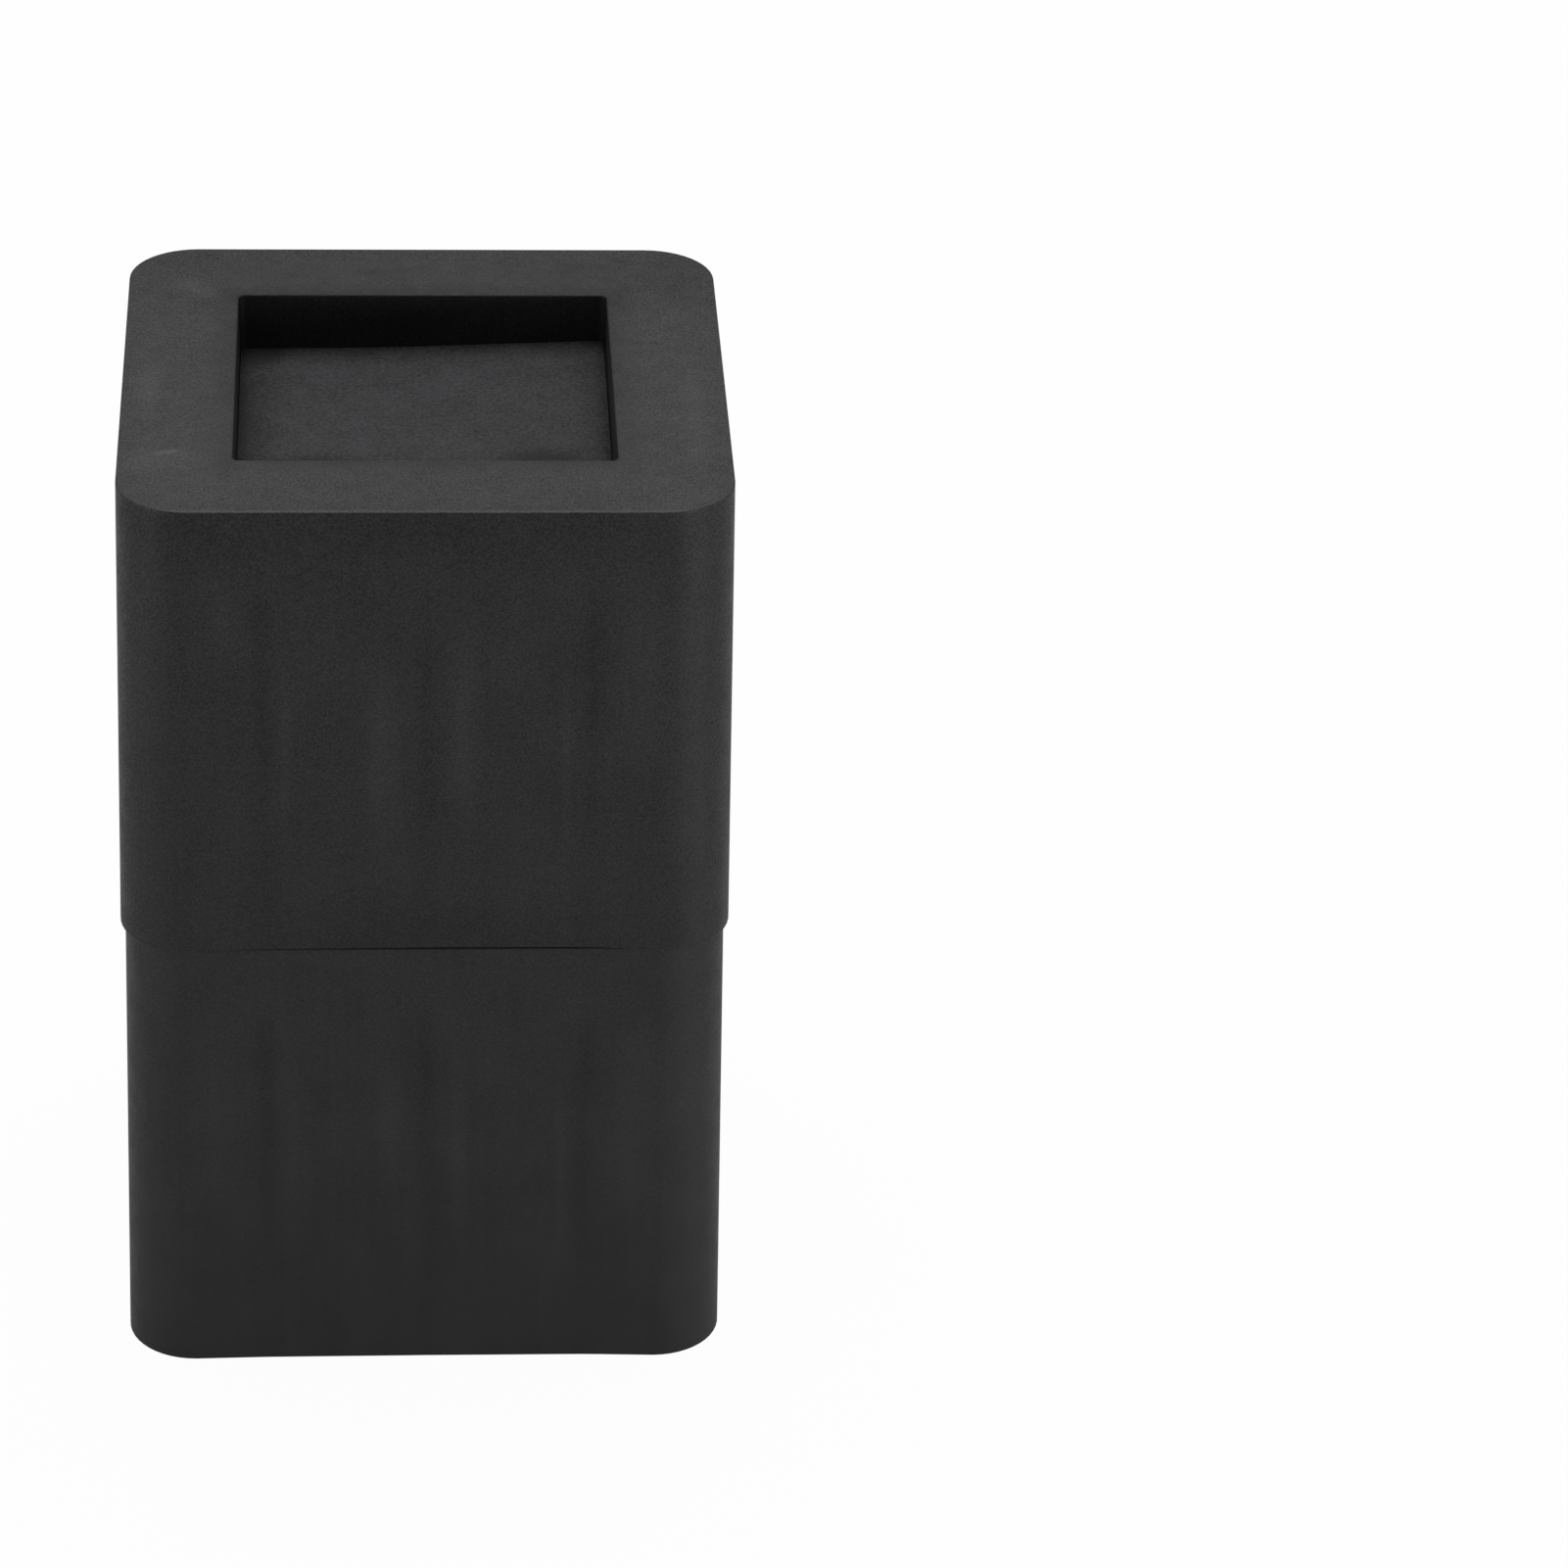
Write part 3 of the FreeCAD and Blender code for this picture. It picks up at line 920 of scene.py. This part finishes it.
@dataclass
class FoamPad:
    """One foam pad: an uneven sheet on the floor of its recess."""

    tier: Tier
    sizes: RiserSizes = RiserSizes()
    thickness: float = 2.8
    gap: float = 0.15
    corner_radius: float = 1.0
    cuts: int = 76
    waviness: float = 0.2
    wave_pitch: float = 22.0
    edge_radius: float = 0.35
    edge_width: float = 1.2  # over which the top face rounds down to its edge
    curl_start: float = 12.0  # along the diagonal, from the middle to where the corner lifts
    curl_radius: float = 150.0
    curl_deg: float = 2.8
    sharp_deg: float = 50.0

    def build(self) -> bpy.types.Object:
        """Returns:
            The new object.
        """
        name = f"{self.tier.prefix}_foam_pad"
        floor = (self.tier.value * self.sizes.height + self.sizes.recess_floor) * MM
        half = (self.sizes.recess_floor_width / 2 - self.gap) * MM
        pad = bmesh.new()
        bmesh.ops.create_grid(
            pad, x_segments=self.cuts, y_segments=self.cuts, size=half,
            matrix=Matrix.Translation((0, 0, floor + self.thickness * MM)),
        )
        top = pad.verts[:]
        made = bmesh.ops.extrude_face_region(pad, geom=pad.faces[:])["geom"]
        bottom = [item for item in made if isinstance(item, bmesh.types.BMVert)]
        for vert in bottom:
            vert.co.z = floor
        bmesh.ops.recalc_face_normals(pad, faces=pad.faces[:])
        for vert in pad.verts:
            self._round_corner(vert, half)
        for vert in top:
            self._lay(vert, half)
        if self.tier is Tier.UPPER:
            for vert in pad.verts:
                vert.co.z += self._curl(vert.co.x / MM, vert.co.y / MM) * MM
        piece = new_piece(f"{self.tier.prefix}_foam_sheet", pad, self.sharp_deg)
        piece.data.materials.append(EvaFoam().material(self.tier, half / MM))
        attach(piece, BODY)
        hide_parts(name)
        return piece

    def _curl(self, x: float, y: float) -> float:
        """How far the pad has lifted off the floor at a place, in millimetres.

        Args:
            x: Place across, from the middle.
            y: Place towards the back, from the middle.

        Returns:
            The lift.
        """
        past = (x + y) / math.sqrt(2) - self.curl_start
        bend = self.curl_radius * math.sin(math.radians(self.curl_deg))
        if past <= 0:
            return 0.0
        if past < bend:
            return self.curl_radius - math.sqrt(self.curl_radius ** 2 - past ** 2)
        drop = self.curl_radius * (1 - math.cos(math.radians(self.curl_deg)))
        return drop + lean(past - bend, self.curl_deg)

    def _round_corner(self, vert: bmesh.types.BMVert, half: float) -> None:
        """Draws a point in from a square corner of the pad onto a round one.

        Args:
            vert: The point.
            half: Half the pad's width, in metres.
        """
        radius = self.corner_radius * MM
        past = Vector((abs(vert.co.x) - half + radius, abs(vert.co.y) - half + radius))
        if min(past) <= 0 or past.length <= radius:
            return
        drawn = past.normalized() * radius
        vert.co.x = math.copysign(half - radius + drawn.x, vert.co.x)
        vert.co.y = math.copysign(half - radius + drawn.y, vert.co.y)

    def _lay(self, vert: bmesh.types.BMVert, half: float) -> None:
        """Gives a point of the top face its place on an uneven sheet.

        Args:
            vert: The point, on a level square.
            half: Half the pad's width, in metres.
        """
        place = Vector((vert.co.x, vert.co.y, self.tier.value)) / (self.wave_pitch * MM)
        vert.co.z += noise.noise(place) * self.waviness * MM
        to_edge = half - max(abs(vert.co.x), abs(vert.co.y))
        vert.co.z -= (1 - smooth(to_edge, 0, self.edge_width * MM)) * self.edge_radius * MM


@dataclass(frozen=True)
class StudioCamera:
    """The camera, from a fit to the outline of the risers in the picture."""

    eye: tuple[float, float, float] = (-10.919, -1236.427, 804.222)
    backward: tuple[float, float, float] = (-0.06235, -0.86887, 0.49110)
    upward: tuple[float, float, float] = (0.00275, 0.49190, 0.87064)
    lens: float = 151.151
    sensor: float = 36.0
    clip: tuple[float, float] = (0.05, 50.0)  # metres

    def build(self) -> bpy.types.Object:
        """Makes the camera and sets it as the scene's own.

        Returns:
            The camera.
        """
        data = bpy.data.cameras.new("camera")
        data.sensor_width = self.sensor
        data.lens = self.lens
        data.clip_start, data.clip_end = self.clip
        camera = bpy.data.objects.new("camera", data)
        back = Vector(self.backward).normalized()
        right = Vector(self.upward).cross(back).normalized()
        up = back.cross(right)
        turn = Matrix((right, up, back)).transposed().to_4x4()
        camera.matrix_world = Matrix.Translation(Vector(self.eye) * MM) @ turn
        bpy.context.scene.collection.objects.link(camera)
        bpy.context.scene.camera = camera
        return camera


@dataclass(frozen=True)
class SoftLamp:
    """A round soft lamp that points at the middle of the stack. Places and size are in metres."""

    name: str
    place: tuple[float, float, float]
    size: float
    power: float
    aim: tuple[float, float, float] = (0.0, 0.0, 0.1)

    def build(self) -> None:
        """Adds the lamp to the scene."""
        data = bpy.data.lights.new(self.name, "AREA")
        data.shape = "DISK"
        data.size = self.size
        data.energy = self.power
        lamp = bpy.data.objects.new(self.name, data)
        away = Vector(self.place) - Vector(self.aim)
        lamp.matrix_world = Matrix.Translation(self.place) @ away.to_track_quat("Z", "Y").to_matrix().to_4x4()
        bpy.context.scene.collection.objects.link(lamp)


@dataclass(frozen=True)
class Studio:
    """A white floor in a white room, with soft lamps overhead, in front and to each side.

    What looks at the floor sees it mostly as plain white, and the rest of it keeps the shadow.
    """

    floor_half: float = 6.0  # metres
    floor_drop: float = 0.02  # millimetres under the foot, so that the two faces don't coincide
    floor_colour: str = "#bababa"
    floor_white_share: float = 0.97  # for the camera
    floor_gloss_share: float = 0.3  # for reflections
    world_strength: float = 0.85
    near_strength: float = 0.33  # of the room behind the camera
    near_end: float = -0.9  # the Y of a direction, where the room behind the camera ends
    far_start: float = 0.1  # and where the room at its full strength starts
    lamps: tuple[SoftLamp, ...] = (
        SoftLamp("overhead lamp", (0.0, 0.5, 1.6), 1.2, 20.0),
        SoftLamp("front lamp", (0.0, -0.9, 1.5), 0.5, 1.0),
        SoftLamp("right lamp", (0.93, -0.83, 0.15), 0.35, 10.0),
        SoftLamp("left lamp", (-1.1, -0.64, 0.2), 0.35, 6.5),
    )

    def build(self) -> None:
        """Makes the floor, the world and the lamps."""
        scene = bpy.context.scene
        scene.view_settings.view_transform = "Standard"
        floor = bmesh.new()
        bmesh.ops.create_grid(
            floor, x_segments=1, y_segments=1, size=self.floor_half,
            matrix=Matrix.Translation((0, 0, -self.floor_drop * MM)),
        )
        mesh = bpy.data.meshes.new("floor")
        floor.to_mesh(mesh)
        floor.free()
        plane = bpy.data.objects.new("floor", mesh)
        scene.collection.objects.link(plane)
        mesh.materials.append(self._floor_material())
        world = bpy.data.worlds.new("white room")
        tree = new_tree(world)
        direction = add_node(tree, "ShaderNodeTexCoord").outputs["Generated"]
        forward = add_node(tree, "ShaderNodeSeparateXYZ", {0: direction}).outputs["Y"]
        walls = add_node(
            tree, "ShaderNodeMapRange",
            {"Value": forward, "From Min": self.near_end, "From Max": self.far_start,
             "To Min": self.near_strength, "To Max": self.world_strength},
            interpolation_type="SMOOTHSTEP",
        )
        light = add_node(tree, "ShaderNodeBackground", {"Color": (1, 1, 1, 1), "Strength": walls})
        add_node(tree, "ShaderNodeOutputWorld", {"Surface": light})
        scene.world = world
        for lamp in self.lamps:
            lamp.build()

    def _floor_material(self) -> bpy.types.Material:
        """Matt white board, which the camera and reflections see nearly as plain white.

        Returns:
            The new material.
        """
        made = bpy.data.materials.new("white board")
        tree = new_tree(made)
        board = add_node(tree, "ShaderNodeBsdfDiffuse", {"Color": linear(self.floor_colour)})
        white = add_node(tree, "ShaderNodeEmission", {"Color": (1, 1, 1, 1), "Strength": 1.0})
        path = add_node(tree, "ShaderNodeLightPath").outputs
        mirrored = add_node(
            tree, "ShaderNodeMath", {0: path["Is Glossy Ray"], 1: path["Is Transmission Ray"]},
            operation="MAXIMUM",
        )
        kinds = ((mirrored, self.floor_gloss_share), (path["Is Camera Ray"], self.floor_white_share))
        glossy, direct = (
            add_node(tree, "ShaderNodeMath", {0: rays, 1: share}, operation="MULTIPLY")
            for rays, share in kinds
        )
        share = add_node(tree, "ShaderNodeMath", {0: glossy, 1: direct}, operation="MAXIMUM")
        mixed = add_node(tree, "ShaderNodeMixShader", {0: share, 1: board, 2: white})
        add_node(tree, "ShaderNodeOutputMaterial", {"Surface": mixed})
        return made


def main() -> None:
    """Builds the risers, the pads, the camera and the studio, and reports each piece."""
    logging.basicConfig(level=logging.INFO)
    pieces = [Riser(Tier.LOWER), FoamPad(Tier.LOWER), Riser(Tier.UPPER), FoamPad(Tier.UPPER)]
    for piece in pieces:
        made = piece.build()
        LOG.info("%s: %d faces", made.name, len(made.data.polygons))
    StudioCamera().build()
    Studio().build()


if __name__ == "__main__":
    main()
